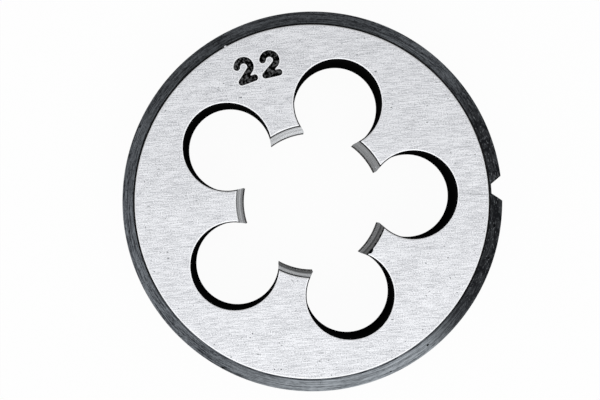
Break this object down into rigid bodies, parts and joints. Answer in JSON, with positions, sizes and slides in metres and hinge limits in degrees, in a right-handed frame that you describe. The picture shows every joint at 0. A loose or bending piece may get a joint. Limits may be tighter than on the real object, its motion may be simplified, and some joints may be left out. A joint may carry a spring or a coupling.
{
  "type": "round threading die",
  "caption": "Closed round threading die: a steel disc with round chip holes round a fine-threaded bore, chamfered rim and a notch for the holder's screw.",
  "frame": {"origin": "centre of the back face, on the die's axis", "axes": "+Z along the die's axis towards the front face, +X towards the notch in the rim"},
  "size_m": [0.0549, 0.055, 0.016],
  "materials": {
    "tool_steel": "ground bright faces, dark turned rim and chip holes"
  },
  "bodies": {
    "root": {"threading_die": "tool_steel"}
  },
  "joints": []
}
